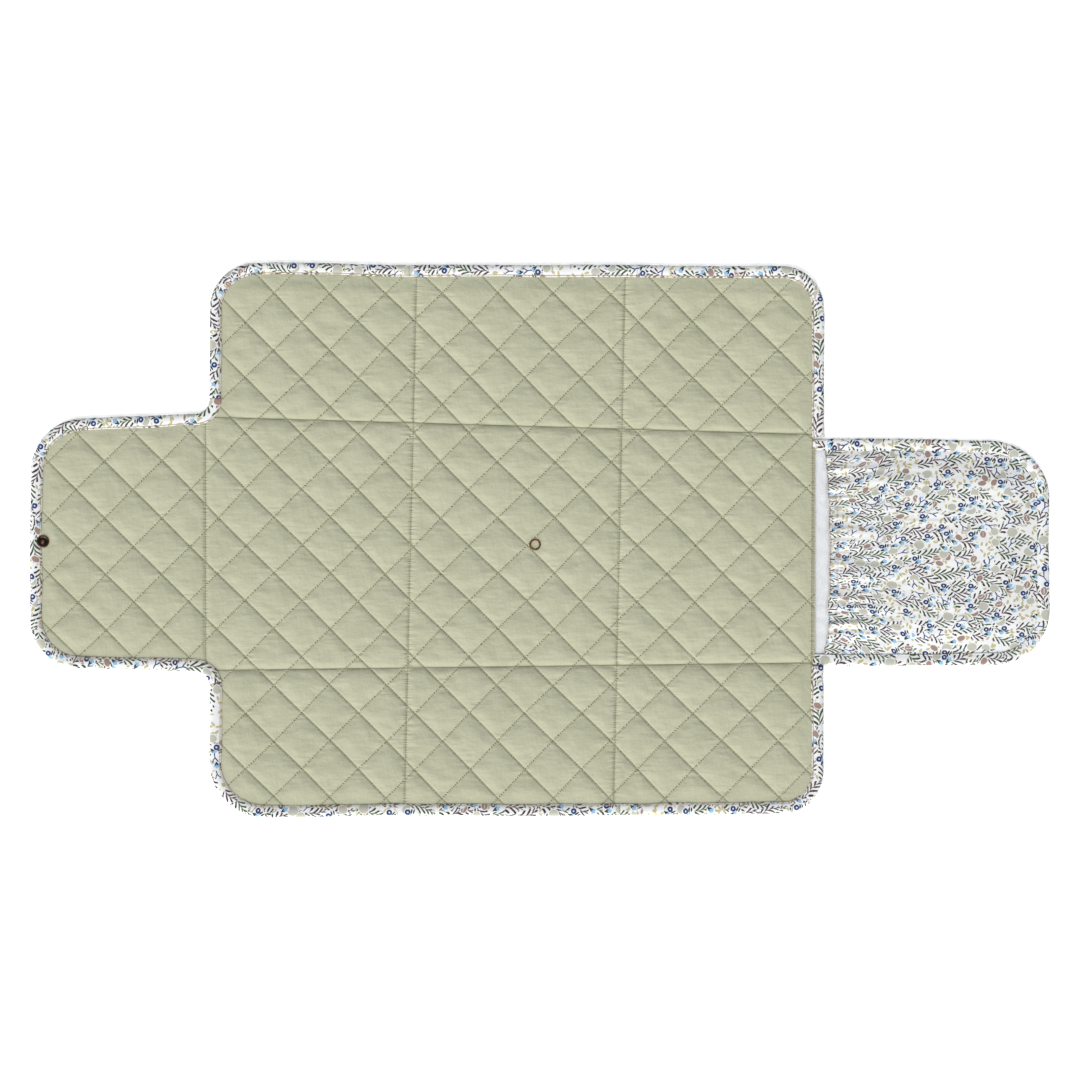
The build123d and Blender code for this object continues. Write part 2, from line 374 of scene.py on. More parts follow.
def line_distance(value, start):
    """Distance to the nearest quilting line of one family."""
    return np.abs((value - start + LINE_GAP / 2) % LINE_GAP - LINE_GAP / 2)


def dip(t, before, after):
    """A bell with one width before the line and another after it."""
    return bell(np.minimum(t, 0), before) * bell(np.maximum(t, 0), after)


def creases(x, y):
    """Depth that the fold lines press into the face, in millimetres."""
    d = fold_lines(x, y)
    depth = np.zeros(np.shape(x))
    for name in ("top", "bottom"):
        t = d[name]
        depth += 1.35 * np.exp(-np.abs(t) / 1.7) + 0.5 * bell(t, 9)
    for name in ("left", "right"):
        t = d[name]
        depth += bell(t, 1.3) + 0.55 * dip(t, 8, 4)
        depth += 0.34 * noise(x, y, 15, 1.7, 21) * bell(t, 7)
    depth += 1.2 * bell(d["flap"], 1.6) + 0.6 * dip(d["flap"], 8, 3)
    depth += np.where(np.abs(y) < 140, 1.0, 0.0) * bell(d["pocket"], 2.2)
    return depth


def level_at_snaps(z, x, y, level, radius, fade):
    """Heights brought to one level under the two snap halves."""
    for cx, cy in (STUD, RING):
        r = np.hypot(x - cx, y - cy)
        z = z + (level - z) * (1 - smooth((r - radius) / fade))
    return z


def face_z(x, y):
    """Height of the quilted face."""
    p, q = lattice(x, y)
    dp, dq = line_distance(p, P0), line_distance(q, Q0)
    groove = 0.55 * bell(dp, 0.9) + 0.32 * bell(dq, 0.9)
    lift = np.minimum(puff(x, y), 1.25)
    lift = np.where(lift > 0.85, 0.85 + (lift - 0.85) * 0.45, lift)
    lift = np.clip(lift, 0, 2) ** 0.8 * 0.94
    crossing = np.exp(-((dp**2 + dq**2) / 90))
    streak = noise(x, y, 11, 2.0) * (0.05 + 0.26 * crossing)
    streak += 0.12 * noise(x, y, 13, 9, 13) + 0.05 * noise(x, y, 3.2, 9, 29)
    z = VALLEY_Z + FACE_LIFT * lift - groove + streak - creases(x, y)
    edge = pad_edge(x, y)
    near = smooth((edge - BINDING_FACE + 1.0) / 17)
    z = EDGE_Z + (z - EDGE_Z) * (0.16 + 0.84 * near)
    z = level_at_snaps(z, x, y, SNAP_Z, 5.6, 7.0)
    return soft_floor(z, back_z(x, y) + 1.0, 0.08)


def back_z(x, y):
    """Height of the back cloth, which rests flat wherever a puff presses it down."""
    p, q = lattice(x, y)
    groove = 0.25 * bell(line_distance(p, P0), 1.1) + 0.25 * bell(line_distance(q, Q0), 1.1)
    lift = np.clip(puff(x, y), 0, 1)
    z = 1.35 - 1.75 * lift + groove + 0.35 * creases(x, y) + 0.06 * noise(x, y, 8, 5, 40)
    z = soft_floor(z, 0.0, 0.05) - 0.02
    edge = pad_edge(x, y)
    z = 1.1 + (z - 1.1) * smooth((edge - BINDING_FACE + 3.0) / 14)
    z = level_at_snaps(z, x, y, 1.35, 6.4, 6.0)
    return np.maximum(z, 0.02)


def slope_normals(height, x, y, up):
    """Normals of a height field, from heights 0.3 mm either side of each point."""
    e = 0.3
    gx = (height(x + e, y) - height(x - e, y)) / (2 * e)
    gy = (height(x, y + e) - height(x, y - e)) / (2 * e)
    return unit(np.stack([-gx, -gy, np.ones(np.shape(x))], -1) * up)


# --- meshes ---
def nearest(*distances):
    """The smallest of several signed distances, sign kept."""
    stack = np.stack(distances)
    return np.take_along_axis(stack, np.abs(stack).argmin(0)[None], 0)[0]


def quilt_marks(x, y):
    """Places on the quilting lattice, and distances to the nearest column fold, row fold and pocket seam."""
    p, q = lattice(x, y)
    d = fold_lines(x, y)
    beside_pocket = (y < POCKET_TOP + 4) & (y > POCKET_BOTTOM - 4)
    pocket_seam = np.where(beside_pocket, d["pocket"], 1000.0)
    column = nearest(d["left"], d["right"], d["flap"], pocket_seam)
    row = nearest(d["top"], d["bottom"])
    return np.stack([p, q, 0 * x], 1), np.stack([column, row, pocket_seam], 1)


def make_object(name, co, faces, materials, face_material=None, normals=None, flat=None, **attributes):
    """A mesh object from millimetres. normals holds one per face corner, zero where automatic."""
    mesh = bpy.data.meshes.new(name)
    sides = [face for group in faces for face in np.asarray(group).tolist()]
    mesh.from_pydata((np.asarray(co, float) * MM).tolist(), [], sides)
    for material in materials:
        mesh.materials.append(material)
    if face_material is not None:
        mesh.polygons.foreach_set("material_index", np.asarray(face_material, np.int32))
    mesh.validate()
    mesh.polygons.foreach_set("use_smooth", np.ones(len(sides), bool) if flat is None else ~flat)
    for key, values in attributes.items():
        layer = mesh.attributes.new(key, "FLOAT_VECTOR", "POINT")
        layer.data.foreach_set("vector", np.asarray(values, np.float32).ravel())
    if normals is not None:
        mesh.normals_split_custom_set(normals.tolist())
    return add_object(name, mesh)


FINE_PITCH = 1.0


def grid_lines(low, high, pitch=1.5, folds=()):
    """Positions from low to high, closer together near the folds."""
    stops = sorted({low, high, *[c for f in folds for c in (f - 9, f + 9) if low < c < high]})
    lines = [low]
    for a, b in zip(stops[:-1], stops[1:]):
        near = any(abs((a + b) / 2 - f) < 9 for f in folds)
        count = max(1, int(math.ceil((b - a) / (FINE_PITCH if near else pitch))))
        lines += list(a + (b - a) * (np.arange(count) + 1) / count)
    return np.array(lines)


COLUMN_FOLDS = (FLAP_X, LEFT_X, RIGHT_X)
ROW_FOLDS = (TOP_Y - 1.6, BOTTOM_Y + 0.8)


def slack(x, y):
    """Place in the back cloth's print, which has spare length at each fold to go round it."""

    def spare(distance, fold):
        turn = TURN[fold]
        way_round = math.pi * math.hypot(turn / 2, hinge[f"fold_{fold}"][2])
        return 0.8 * (way_round - turn) * smooth(distance / turn)

    x_spare = spare(x - RIGHT_X, "right") + spare(x - POCKET_X, "pocket")
    x_spare = x_spare - spare(LEFT_X - x, "left") - spare(FLAP_X - x, "flap")
    y_spare = spare(y - TOP_Y, "top") - spare(BOTTOM_Y - y, "bottom")
    return x + x_spare, y + y_spare


def slab_mesh(name, xs, ys, keep, top_z, bottom_z, materials, tuck=0.0, warp=None, stretch=None, marks=None):
    """A closed piece between two height fields over the grid cells that keep allows.

    tuck thins it, warp moves the grid, stretch gives the cloth's own coordinates where it is
    gathered, and marks gives the stitching's coordinates.
    """
    gx, gy = np.meshgrid(xs, ys, indexing="ij")
    if warp:
        gx, gy = warp(gx, gy)
    inside = keep(gx, gy)
    kept, upper = np.unique(grid_faces(inside), return_inverse=True)
    upper = upper.reshape(-1, 4)
    count = len(kept)
    x, y = gx[inside][kept], gy[inside][kept]
    co = [np.stack([x, y, z], 1) for z in (top_z(x, y) - tuck, bottom_z(x, y) + tuck)]
    lower = upper[:, ::-1] + count
    edges = np.concatenate([upper[:, [k, (k + 1) % 4]] for k in range(4)])
    codes = edges[:, 0] * (2 * count) + edges[:, 1]
    back = edges[:, 1] * (2 * count) + edges[:, 0]
    rim = edges[~np.isin(codes, back)]
    walls = np.stack([rim[:, 1], rim[:, 0], rim[:, 0] + count, rim[:, 1] + count], 1)
    slopes = np.concatenate([slope_normals(top_z, x, y, 1), slope_normals(bottom_z, x, y, -1)])
    normals = np.concatenate([slopes[upper.ravel()], slopes[lower.ravel()], np.zeros((walls.size, 3))])
    counts = [len(upper), len(lower), len(walls)]
    kinds, flat = np.repeat([0, 1, 1], counts), np.repeat([False, False, True], counts)
    places = (stretch(x, y) if stretch else (x, y), slack(x, y))
    cloth = np.concatenate([np.stack([a, b, 0 * a], 1) for a, b in places])
    extra = {}
    if marks:
        extra = dict(zip(("stitch", "fold"), [np.tile(v, (2, 1)) for v in marks(x, y)]))
    faces = [upper, lower, walls]
    return make_object(name, np.concatenate(co), faces, materials, kinds, normals, flat, cloth=cloth, **extra)


# --- shader building ---
def math_node(operation):
    """A Signal's method that adds one Math node."""
    return lambda self, *others: self.math(operation, *others)


class Signal:
    """A node output that can be used in arithmetic."""

    def __init__(self, tree, socket):
        self.tree, self.socket = tree, socket

    def math(self, operation, *others):
        inputs = dict(enumerate((self, *others)))
        node = new_node(self.tree, "ShaderNodeMath", inputs, operation=operation)
        return Signal(self.tree, node.outputs[0])

    __add__ = math_node("ADD")
    __sub__ = math_node("SUBTRACT")
    __mul__ = math_node("MULTIPLY")
    __truediv__ = math_node("DIVIDE")
    abs = math_node("ABSOLUTE")
    max = math_node("MAXIMUM")
    min = math_node("MINIMUM")

    def __rsub__(self, value):
        return self * -1.0 + value

    def clamp(self):
        return self.max(0.0).min(1.0)

    def below(self, limit, soft=0.25):
        """1 where the value is under the limit, with a soft edge."""
        return ((limit - self) / soft + 0.5).clamp()

    def bell(self, width):
        return ((self / width).math("POWER", 2.0) * -1.0).math("EXPONENT")


def new_node(tree, kind, inputs=None, **settings):
    node = tree.nodes.new(kind)
    for key, value in settings.items():
        setattr(node, key, value)
    for key, value in (inputs or {}).items():
        if isinstance(value, Signal):
            tree.links.new(value.socket, node.inputs[key])
        elif isinstance(value, bpy.types.NodeSocket):
            tree.links.new(value, node.inputs[key])
        else:
            node.inputs[key].default_value = value
    return node


def vector(x, y):
    return new_node(x.tree, "ShaderNodeCombineXYZ", {0: x, 1: y}).outputs[0]


def split(socket):
    tree = socket.id_data
    return [Signal(tree, o) for o in new_node(tree, "ShaderNodeSeparateXYZ", {0: socket}).outputs]


def rgb(r, g, b):
    """Linear colour of an 8-bit sRGB one."""
    return tuple(((c / 255 + 0.055) / 1.055) ** 2.4 if c > 10 else c / 3294.6 for c in (r, g, b)) + (1.0,)


def mix(factor, a, b):
    inputs = {0: factor, 6: a, 7: b}
    return new_node(factor.tree, "ShaderNodeMix", inputs, data_type="RGBA").outputs[2]


def fractal(where, scale, detail=3.0, rough=0.55):
    inputs = {"Vector": where, "Scale": scale, "Detail": detail, "Roughness": rough}
    node = new_node(where.id_data, "ShaderNodeTexNoise", inputs)
    return Signal(where.id_data, node.outputs["Fac"])


PRINT_SCALE = 0.87  # millimetres of the drawn print to one millimetre of cloth


def floral_group():
    """Small scattered print: discs, ovals, leaves, sprigs and blossoms on a white ground, in millimetres."""
    tree = bpy.data.node_groups.new("floral_print", "ShaderNodeTree")
    tree.interface.new_socket("Vector", in_out="INPUT", socket_type="NodeSocketVector")
    tree.interface.new_socket("Color", in_out="OUTPUT", socket_type="NodeSocketColor")
    inp = tree.nodes.new("NodeGroupInput")
    out = tree.nodes.new("NodeGroupOutput")
    px, py, _ = split(inp.outputs[0])
    inputs = {"Vector": vector(px, py), "Scale": 0.35, "Detail": 1.0}
    wr, wg, _ = split(new_node(tree, "ShaderNodeTexNoise", inputs).outputs["Color"])
    px = px + (wr - 0.5) * 1.1
    py = py + (wg - 0.5) * 1.1
    ground = mix(fractal(vector(px, py), 0.02), rgb(220, 222, 224), rgb(233, 234, 235))
    colour = ground
    there = None

    def scatter(cell, shift, share, spread=0.85, swing=math.pi):
        """Local axes about the nearest motif centre, turned within swing, and two random numbers.

        The motif is painted at a share of the centres.
        """
        nonlocal there
        moved = vector(px + shift, py - shift * 1.7)
        inputs = {"Vector": moved, "Scale": 1.0 / cell, "Randomness": spread}
        cells = new_node(tree, "ShaderNodeTexVoronoi", inputs, voronoi_dimensions="2D")
        cx, cy, _ = split(cells.outputs["Position"])
        centre = {"Vector": cells.outputs["Position"]}
        dice = new_node(tree, "ShaderNodeTexWhiteNoise", centre, noise_dimensions="2D")
        turned, chance, size = split(dice.outputs["Color"])
        there = chance.below(share, 0.01)
        dx, dy = px + shift - cx, py - shift * 1.7 - cy
        angle = (turned - 0.5) * (2 * swing)
        c, s = angle.math("COSINE"), angle.math("SINE")
        return dx * c + dy * s, dy * c - dx * s, chance, size

    def length(x, y):
        return (x * x + y * y).math("SQRT")

    def paint(mask, ink):
        nonlocal colour
        colour = mix((mask * there).clamp(), colour, ink)

    def leaf(x, y, half, width):
        share = (x / half).math("POWER", 2.0)
        return (y.abs() + share * width).below(width, 0.3) * x.abs().below(half, 0.3)

    def blossom(x, y):
        """Five light-blue petals in two dark sepals."""
        petals = (y.math("ARCTAN2", x) * 5.0).math("COSINE") * 0.35 + 1.9
        paint(length(x, y).below(petals, 0.35), rgb(142, 184, 214))
        sepals = leaf(x + 2.2, y - 1.2 - x * 0.4, 2.0, 0.75).max(leaf(x + 2.2, y + 1.3 + x * 0.4, 1.8, 0.7))
        paint(sepals, rgb(36, 56, 52))

    # khaki leaves
    for cell, shift, share in ((5.6, 41.0, 0.9), (6.8, 67.0, 0.75)):
        x, y, _, _ = scatter(cell, shift, share, 0.9, 1.9)
        paint(leaf(x, y, 2.3, 0.95), rgb(184, 176, 132))
    # sprigs: slanting leaflets either side of a stem, darker towards their tips
    for cell, shift, half, gap, reach, bend, width, root, tip, share in (
        (21.0, 131.0, 12.0, 4.4, 4.8, 0.014, 0.18, rgb(76, 94, 58), rgb(26, 40, 28), 0.85),
        (22.0, 219.0, 9.0, 5.0, 4.8, 0.03, 0.165, rgb(88, 68, 70), rgb(22, 18, 24), 0.8),
        (23.0, 173.0, 11.0, 4.6, 4.6, -0.018, 0.18, rgb(80, 98, 62), rgb(32, 48, 32), 0.7),
        (24.0, 243.0, 8.0, 4.8, 4.4, -0.04, 0.165, rgb(86, 70, 74), rgb(24, 22, 30), 0.7),
    ):
        x, y, _, _ = scatter(cell, shift, share, 0.9, 0.6)
        y = y + x * x * bend
        wide = (1.35 - (x / half + 0.25)).max(0.0).min(1.0) * reach
        arm = y.abs() - y * y * 0.07
        beat = ((x - arm * 1.8 + y.math("SIGN") * (gap * 0.25)) / gap).math("FRACT")
        share_out = (y.abs() / (wide + 0.01)).clamp()
        stroke = (beat - 0.5).abs().below((1.0 - share_out * share_out) * 0.08 + width, 0.07)
        run = x.abs().below(half, 0.3)
        paint(y.abs().below(wide + 0.3, 0.3) * run, ground)
        paint(y.abs().below(0.22, 0.3) * run * 0.7, root)
        paint(stroke * y.abs().below(wide, 0.4) * run, mix((y.abs() / reach).clamp(), root, tip))
    # taupe ovals, some with a paler line
    x, y, chance, _ = scatter(18.5, 87.0, 0.6)
    oval = length(x * 0.72, y)
    paint(oval.below(2.8, 0.3), ground)
    paint(oval.below(2.3, 0.35), rgb(152, 128, 118))
    paint(y.abs().below(0.3, 0.3) * oval.below(1.5, 0.3) * chance.below(0.35, 0.01), rgb(216, 205, 198))
    # grey-sage discs
    x, y, _, size = scatter(17.0, 3.0, 0.6)
    disc = length(x, y * 1.1)
    paint(disc.below(size * 1.1 + 3.9, 0.3), ground)
    paint(disc.below(size * 1.1 + 3.3, 0.4), rgb(182, 183, 170))
    # light-blue blossoms
    x, y, _, _ = scatter(19.0, 307.0, 0.6, swing=1.2)
    paint(length(x, y).below(3.4, 0.3), ground)
    blossom(x, y)
    # navy rings with a pale centre, dark leaves beside and a blossom below
    x, y, _, _ = scatter(20.5, 353.0, 0.85, swing=0.9)
    paint(length(x - 1.6, y + 1.6).below(5.0, 0.3), ground)
    paint(length(x, y).below(2.2, 0.3), rgb(32, 52, 106))
    paint(length(x, y).below(0.7, 0.3), rgb(206, 214, 228))
    leaves = leaf(y, x - 3.1 - y * 0.4, 2.1, 0.7).max(leaf(y + 0.6, x - 5.0 - y * 0.4, 1.9, 0.65))
    paint(leaves, rgb(30, 44, 46))
    blossom(x - 1.4, y + 4.0)
    # navy forked sprigs
    x, y, _, _ = scatter(19.0, 397.0, 0.55, swing=1.5)
    paint(length(x, y).below(3.6, 0.3), ground)
    fork = (y.abs() - x * 0.6).abs().below(0.5, 0.25) * (x - 1.7).abs().below(1.9, 0.3)
    stalk = y.abs().below(0.4, 0.25) * (x + 1.4).abs().below(2.0, 0.3)
    paint(fork.max(stalk), rgb(40, 60, 116))
    tree.links.new(colour, out.inputs[0])
    return tree


FLORAL = floral_group()


def weave(x, y, pitch):
    """Plain weave as a height from 0 to 1."""
    k = 2 * math.pi / pitch
    over = (x * k).math("SINE") * (y * k).math("SINE")
    return over * 0.5 + 0.5


def attribute(tree, name):
    """The three numbers that each mesh point carries under a name."""
    return split(new_node(tree, "ShaderNodeAttribute", attribute_name=name).outputs["Vector"])


def to_line(value, start):
    """Distance to the nearest quilting line of one family."""
    past = (value - (start - LINE_GAP / 2)).math("FLOORED_MODULO", LINE_GAP)
    return (past - LINE_GAP / 2).abs()


def from_middle(value):
    """Distance from the middle of each repeat."""
    return (value.math("FRACT") - 0.5).abs()


def new_material(name, constants):
    """A material with its node tree and shader. constants are set on the shader's own sockets."""
    material = bpy.data.materials.new(name)
    material.use_nodes = True
    shader = material.node_tree.nodes["Principled BSDF"]
    for key, value in constants.items():
        shader.inputs[key].default_value = value
    return material, material.node_tree, shader


def cloth_material(name, roughness, sheen):
    constants = {"Roughness": roughness, "Sheen Weight": sheen, "Sheen Roughness": 0.55}
    material, tree, shader = new_material(name, {**constants, "Specular IOR Level": 0.18})
    x, y, _ = attribute(tree, "cloth")
    return material, tree, shader, x, y


def finish(shader, colour, height, strength, distance):
    """Colour and bump on a shader."""
    tree = shader.id_data
    tree.links.new(colour, shader.inputs["Base Color"])
    bump = new_node(tree, "ShaderNodeBump", {"Strength": strength, "Distance": distance, "Height": height})
    tree.links.new(bump.outputs[0], shader.inputs["Normal"])


def sage_material():
    material, tree, shader, x, y = cloth_material("sage_cotton", 0.82, 0.2)
    p, q, _ = attribute(tree, "stitch")
    column, row, seam_side = attribute(tree, "fold")

    dp, dq = to_line(p, P0), to_line(q, Q0)
    # thread dashes along both families, with needle holes between them that are darkened with painted shade
    uneven = fractal(vector(x, y), 0.12, 1.0) * 3.0
    dash_p = from_middle(q / 2.3 + uneven)
    dash_q = from_middle(p / 2.3 + uneven)
    thread_p = dp.bell(0.42) * dash_p.below(0.34, 0.14)
    thread_q = dq.bell(0.42) * dash_q.below(0.30, 0.14)
    hole_p = dp.bell(0.55) * (0.5 - dash_p).below(0.17, 0.12)
    hole_q = dq.bell(0.6) * (0.5 - dash_q).below(0.24, 0.16)
    # painted shade: the grooves along the quilting lines are darkened, more along the p lines than the q
    # lines
    groove_shade = (dp.bell(0.65) * 0.42).max(dq.bell(0.7) * 0.12)

    columns, rows_ = column.abs(), row.abs()
    dash_c = from_middle(y / 2.2).below(0.30, 0.12)
    dash_r = from_middle(x / 2.4).below(0.33, 0.12)
    seam = (columns.bell(0.5) * (dash_c * 0.6 + 0.1)).max(rows_.bell(0.5) * (dash_r * 0.2 + 0.6))
    # painted shade along the column and row fold creases, stronger along the rows
    crease_shade = (columns.bell(1.4) * 0.1).max(rows_.bell(1.4) * 0.2)

    cloudy = fractal(vector(x, y), 0.018, 4.0)
    slub_x = fractal(vector(x * 0.12, y * 2.4), 0.6, 2.0)
    slub_y = fractal(vector(x * 2.4, y * 0.12), 0.6, 2.0)
    crumple = fractal(vector(x * 0.5, y), 0.22, 3.0, 0.6)
    crumple = crumple + fractal(vector(x, y * 0.4), 0.3, 2.0)
    tone = ((cloudy - 0.5) * 0.9 + (slub_x - 0.5) * 0.35 + (slub_y - 0.5) * 0.3 + 0.5).clamp()
    colour = mix(tone, rgb(170, 172, 146), rgb(187, 188, 164))
    # painted shade: one dark colour for the quilting grooves and the fold creases
    colour = mix(groove_shade.max(crease_shade), colour, rgb(122, 126, 94))
    colour = mix(thread_p * 0.5, colour, rgb(148, 150, 114))
    colour = mix(thread_q * 0.5, colour, rgb(198, 200, 168))
    # painted shade in the needle holes
    colour = mix((hole_p * 0.45).max(hole_q * 0.72), colour, rgb(92, 92, 56))
    colour = mix(seam, colour, rgb(104, 106, 76))
    colour = mix((seam_side + 1.4).abs().bell(0.45) * 0.7, colour, rgb(128, 98, 72))
    ticks = fractal(vector(x * 0.16, y * 1.5), 0.42, 1.0) - 0.5
    height = weave(x, y, 0.62) * 0.08 + (slub_x + slub_y) * 0.07 + crumple * 1.1
    height = height + ticks * columns.bell(3.2) * 2.4 + (thread_p + thread_q) * 0.45
    height = height - (hole_p + hole_q) * 0.7 - seam * 0.5 - dp.bell(0.8) * 0.8 - dq.bell(0.8) * 0.25
    finish(shader, colour, height, 0.6, 0.0007)
    return material


def floral_material(name, dx, dy, stitches=(), quilted=False, hem=False):
    """Printed cotton. stitches are distances across the piece of rows of brown stitching."""
    material, tree, shader, x, y = cloth_material(name, 0.78, 0.15)
    printed = new_node(tree, "ShaderNodeGroup", node_tree=FLORAL)
    tree.links.new(vector((x + dx) * PRINT_SCALE, (y + dy) * PRINT_SCALE), printed.inputs[0])
    colour = printed.outputs[0]
    height = weave(x, y, 0.5) * 0.2 + fractal(vector(x * 0.3, y * 2.0), 0.8, 2.0) * 0.4
    for place in stitches:
        across = (y - place).abs()
        dash = from_middle(x / 2.6)
        thread = across.bell(0.4) * dash.below(0.36, 0.1)
        hole = across.bell(0.45) * (0.5 - dash).below(0.12, 0.08)
        colour = mix(across.bell(0.8) * 0.4, colour, rgb(178, 160, 138))
        colour = mix(thread * 0.6, colour, rgb(158, 128, 96))
        # painted shade in the needle holes
        colour = mix(hole * 0.7, colour, rgb(98, 74, 54))
        height = height + thread * 1.0 - hole * 0.8
    if quilted:
        p, q, _ = attribute(tree, "stitch")
        for value, along, start in ((p, q, P0), (q, p, Q0)):
            d = to_line(value, start)
            dash = from_middle(along / 2.6).below(0.34, 0.1)
            colour = mix(d.bell(0.45) * dash * 0.7, colour, rgb(196, 196, 168))
            height = height - d.bell(0.9) * 0.5 + d.bell(0.4) * dash
    if hem:
        t, along, _ = attribute(tree, "stitch")
        dash = from_middle(along / 2.4).below(0.34, 0.1)
        colour = mix((t - 0.7).abs().bell(0.6) * 0.6, colour, rgb(132, 104, 84))
        colour = mix((t - HEM).abs().bell(0.4) * dash * 0.55, colour, rgb(176, 160, 140))
    finish(shader, colour, height, 0.45, 0.0003)
    return material


def plain_cloth_material(name, a, b, pitch, strength=0.5, distance=0.0004):
    """White or tinted cloth with a soft brushed or ribbed surface."""
    material, tree, shader, x, y = cloth_material(name, 0.88, 0.3)
    pile = fractal(vector(x, y), 0.9, 4.0, 0.7)
    tone = (fractal(vector(x, y), 0.06, 3.0) * 0.7 + pile * 0.5 - 0.1).clamp()
    height = weave(x, y, pitch) * 0.3 + pile * 0.7
    finish(shader, mix(tone, a, b), height, strength, distance)
    return material


def metal_material(name, dark, bright, low_rough=0.28, high_rough=0.5):
    """Darkened brass with rubbed edges."""
    material, tree, shader = new_material(name, {"Metallic": 1.0})
    coord = new_node(tree, "ShaderNodeTexCoord").outputs["Object"]
    patina = fractal(coord, 900.0, 4.0)
    fine = fractal(coord, 4200.0, 3.0)
    edge = Signal(tree, new_node(tree, "ShaderNodeNewGeometry").outputs["Pointiness"])
    rub = ((edge - 0.5) * 9.0 + (patina - 0.5) * 0.9 + 0.25).clamp()
    rough = fine * (high_rough - low_rough) + low_rough
    tree.links.new(rough.socket, shader.inputs["Roughness"])
    finish(shader, mix(rub, dark, bright), fine, 0.25, 0.00008)
    return material


def tape_profile(height, low):
    """Section of a tape folded over an edge, as (distance in from the outline, height) points.

    The outer skin runs from the inner edge underneath, round the nose, to the inner edge on top.
    """
    nose = height * 0.46
    under = [(1.0, low), (0.9, 0.05), (0.68, 0.0), (0.42, 0.02), (0.22, 0.12)]
    roll = [(0.09, 0.32), (0.015, 0.68), (0.0, 1.0)]
    shoulder = [(0.02, 0.38), (0.075, 0.68), (0.16, 0.88)]
    top = [
        (0.28, 0.985), (0.42, 1.0), (0.56, 0.985), (0.70, 0.945), (0.81, 0.88),
        (0.875, 0.82), (0.93, 0.83), (0.985, 0.81), (1.0, 0.76),
    ]
    section = [*under, *[(a, nose * b) for a, b in roll]]
    section += [(a, nose + (height - nose) * b) for a, b in shoulder]
    section += [(a, height * b) for a, b in top]
    return np.array(section) * (BINDING_FACE, 1)


profile = tape_profile(5.3, 0.55)
TAPE_ROUND = float(run_length(profile)[-1])
HEM = 8.0  # depth of the casing along the pocket's mouth

SAGE = sage_material()
UNDERSIDE = floral_material("floral_underside", 500.0, 900.0, quilted=True)
BINDING = floral_material("floral_binding", 60.0, -310.0, stitches=(1.4, TAPE_ROUND - 1.1))
POCKET = floral_material("floral_pocket", 130.0, 40.0, hem=True)
POCKET_TAPE = floral_material("floral_pocket_binding", -220.0, 75.0)
POCKET_BACK = floral_material("floral_pocket_back", 210.0, 640.0)
LINING = plain_cloth_material("white_lining", rgb(212, 215, 219), rgb(243, 245, 247), 1.1, 0.8, 0.0009)
ELASTIC = plain_cloth_material("white_elastic", rgb(226, 226, 222), rgb(244, 244, 240), 0.9)
BRASS = metal_material("antique_brass", rgb(70, 48, 32), rgb(168, 122, 78))
BLACKENED = metal_material("blackened_brass", rgb(24, 22, 22), rgb(92, 84, 78), 0.22, 0.36)


# --- quilted pieces ---
def quilt_piece(name, x_range, y_range, tuck=0.0):
    xs = grid_lines(*x_range, folds=COLUMN_FOLDS)
    ys = grid_lines(*y_range, folds=ROW_FOLDS)
    keep = lambda x, y: pad_edge(x, y) > UNDER_BINDING
    piece = slab_mesh(name, xs, ys, keep, face_z, back_z, [SAGE, UNDERSIDE], tuck, marks=quilt_marks)
    return piece


def layers(panel):
    return [f"{panel}_{layer}" for layer in ("face_cloth", "batting", "back_cloth")]


left_turn = (LEFT_X - TURN["left"], LEFT_X)
right_turn = (RIGHT_X, RIGHT_X + TURN["right"])
spans = {"left": (FLAP_X, left_turn[0]), "center": (LEFT_X, RIGHT_X), "right": (right_turn[1], MAT_RIGHT + 2)}
rows = {
    "top": (TOP_Y, PAD_TOP + 2, TOP_Y + TURN["top"]),
    "bottom": (BOTTOM_Y, PAD_BOTTOM - 2, BOTTOM_Y - TURN["bottom"]),
}
turns = {"left": (LEFT_X, left_turn[0]), "right": (RIGHT_X, right_turn[1])}
middle_y = (BOTTOM_Y, TOP_Y)

quilt = quilt_piece("middle_center_quilt", (LEFT_X, RIGHT_X), middle_y)
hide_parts(*layers("middle_center"))
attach(quilt, "middle_center")

for side, span in (("left", (FLAP_X, LEFT_X)), ("right", (RIGHT_X, POCKET_X))):
    start, end = turns[side]
    quilt = quilt_piece(f"middle_{side}_quilt", span, middle_y)
    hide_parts(*layers(f"middle_{side}"))
    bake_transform(quilt)

for row, (fold_y, far_y, turned_y) in rows.items():
    reach = (min(fold_y, far_y), max(fold_y, far_y))
    for column, span in spans.items():
        quilt = quilt_piece(f"{row}_{column}_quilt", span, reach)
        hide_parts(*layers(f"{row}_{column}"))
        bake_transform(quilt)
    for side, (start, end) in turns.items():
        span = (min(start, end), max(start, end))
        strip = quilt_piece(f"{row}_{side}_crease_quilt", span, reach)
        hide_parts(f"{row}_{side}_crease_strip")
        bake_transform(strip)
        # a second layer of the same quilt just inside, over the length of cloth that turns at the row's fold
        square = (min(fold_y, turned_y), max(fold_y, turned_y))
        inner = quilt_piece(f"{row}_{side}_crossing_quilt", span, square, tuck=0.3)
        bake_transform(inner)

flap_quilt = quilt_piece("flap_quilt", (PAD_LEFT - 2, FLAP_X), (-FLAP_TOP - 14, FLAP_TOP + 14))
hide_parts(*layers("flap"))
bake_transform(flap_quilt)


